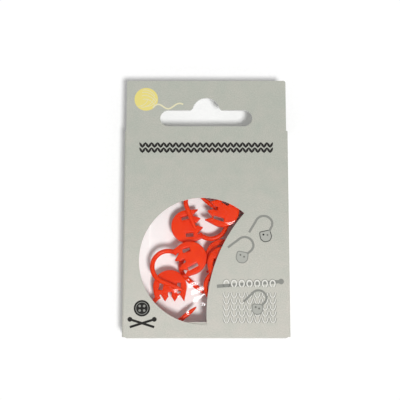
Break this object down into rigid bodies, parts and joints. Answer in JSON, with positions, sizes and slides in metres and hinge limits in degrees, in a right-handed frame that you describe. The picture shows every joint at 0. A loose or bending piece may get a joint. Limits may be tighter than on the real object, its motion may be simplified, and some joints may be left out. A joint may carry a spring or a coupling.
{
  "type": "pack of locking stitch markers",
  "caption": "Grey hanging carton with a crescent window, holding a clear bag of open orange plastic stitch markers whose arms flex shut.",
  "frame": {"origin": "on the back face, under the middle of the outline's bounding box", "axes": "+Z out of the front face, +Y from the bottom closure to the header, +X to the right seen from the front"},
  "size_m": [0.0564, 0.089, 0.01],
  "materials": {
    "carton_board": "smooth uncoated board, printed grey outside",
    "clear_film": "glossy clear film",
    "marker_plastic": "glossy moulded orange"
  },
  "bodies": {
    "carton": {"front_panel": "carton_board", "back_panel": "carton_board", "left_side_panel": "carton_board", "right_side_panel": "carton_board", "glue_flap": "carton_board", "top_panel": "carton_board", "header_back_ply": "carton_board", "top_dust_flap_left": "carton_board", "top_dust_flap_right": "carton_board", "clear_bag": "clear_film", "marker_head_front_middle": "marker_plastic", "marker_head_lower_left": "marker_plastic", "marker_head_upper_left": "marker_plastic", "marker_head_upper_right": "marker_plastic", "marker_head_middle_right": "marker_plastic", "marker_head_lower_right": "marker_plastic", "marker_head_back_middle": "marker_plastic"},
    "bottom_closure": {"bottom_closure_flap": "carton_board"},
    "tuck_tongue_body": {"tuck_tongue": "carton_board"},
    "bottom_dust_left": {"bottom_dust_flap_left": "carton_board"},
    "bottom_dust_right": {"bottom_dust_flap_right": "carton_board"},
    "arm_front_middle": {"marker_arm_front_middle": "marker_plastic"},
    "arm_lower_left": {"marker_arm_lower_left": "marker_plastic"},
    "arm_upper_left": {"marker_arm_upper_left": "marker_plastic"},
    "arm_upper_right": {"marker_arm_upper_right": "marker_plastic"},
    "arm_middle_right": {"marker_arm_middle_right": "marker_plastic"},
    "arm_lower_right": {"marker_arm_lower_right": "marker_plastic"},
    "arm_back_middle": {"marker_arm_back_middle": "marker_plastic"}
  },
  "joints": [
    {"name": "closure_crease", "type": "hinge", "parent": "carton", "child": "bottom_closure", "pos_m": [0, -0.0445, 0], "axis": [1, 0, 0], "range_deg": [0, 90]},
    {"name": "tongue_crease", "type": "hinge", "parent": "bottom_closure", "child": "tuck_tongue_body", "pos_m": [0, -0.04405, 0.00905], "axis": [1, 0, 0], "range_deg": [-90, 0]},
    {"name": "dust_crease_left", "type": "hinge", "parent": "carton", "child": "bottom_dust_left", "pos_m": [-0.02825, -0.04395, 0.004], "axis": [0, 0, -1], "range_deg": [0, 22.5]},
    {"name": "dust_crease_right", "type": "hinge", "parent": "carton", "child": "bottom_dust_right", "pos_m": [0.02825, -0.04395, 0.004], "axis": [0, 0, 1], "range_deg": [0, 22.5]},
    {"name": "flex_front_middle", "type": "hinge", "parent": "carton", "child": "arm_front_middle", "pos_m": [-0.01224, -0.01524, 0.00755], "axis": [0, 0, 1], "range_deg": [0, 20], "stiffness_Nm_per_rad": 0.0002},
    {"name": "flex_lower_left", "type": "hinge", "parent": "carton", "child": "arm_lower_left", "pos_m": [-0.01767, -0.03198, 0.005], "axis": [0, 0, 1], "range_deg": [0, 20], "stiffness_Nm_per_rad": 0.0002},
    {"name": "flex_upper_left", "type": "hinge", "parent": "carton", "child": "arm_upper_left", "pos_m": [-0.00037, -0.01022, 0.005], "axis": [0, 0, 1], "range_deg": [0, 20], "stiffness_Nm_per_rad": 0.0002},
    {"name": "flex_upper_right", "type": "hinge", "parent": "carton", "child": "arm_upper_right", "pos_m": [0.00268, 0.00524, 0.00755], "axis": [0, 0, 1], "range_deg": [0, 20], "stiffness_Nm_per_rad": 0.0002},
    {"name": "flex_middle_right", "type": "hinge", "parent": "carton", "child": "arm_middle_right", "pos_m": [0.01028, -0.02187, 0.005], "axis": [0, 0, 1], "range_deg": [0, 20], "stiffness_Nm_per_rad": 0.0002},
    {"name": "flex_lower_right", "type": "hinge", "parent": "carton", "child": "arm_lower_right", "pos_m": [0.00083, -0.02413, 0.00755], "axis": [0, 0, 1], "range_deg": [0, 20], "stiffness_Nm_per_rad": 0.0002},
    {"name": "flex_back_middle", "type": "hinge", "parent": "carton", "child": "arm_back_middle", "pos_m": [-0.00103, -0.01494, 0.00245], "axis": [0, 0, 1], "range_deg": [0, 20], "stiffness_Nm_per_rad": 0.0002}
  ],
  "couplings": [
    {"joint": "tongue_crease", "follows": "closure_crease", "ratio": -1},
    {"joint": "dust_crease_left", "follows": "closure_crease", "ratio": 0.25},
    {"joint": "dust_crease_right", "follows": "closure_crease", "ratio": 0.25}
  ]
}
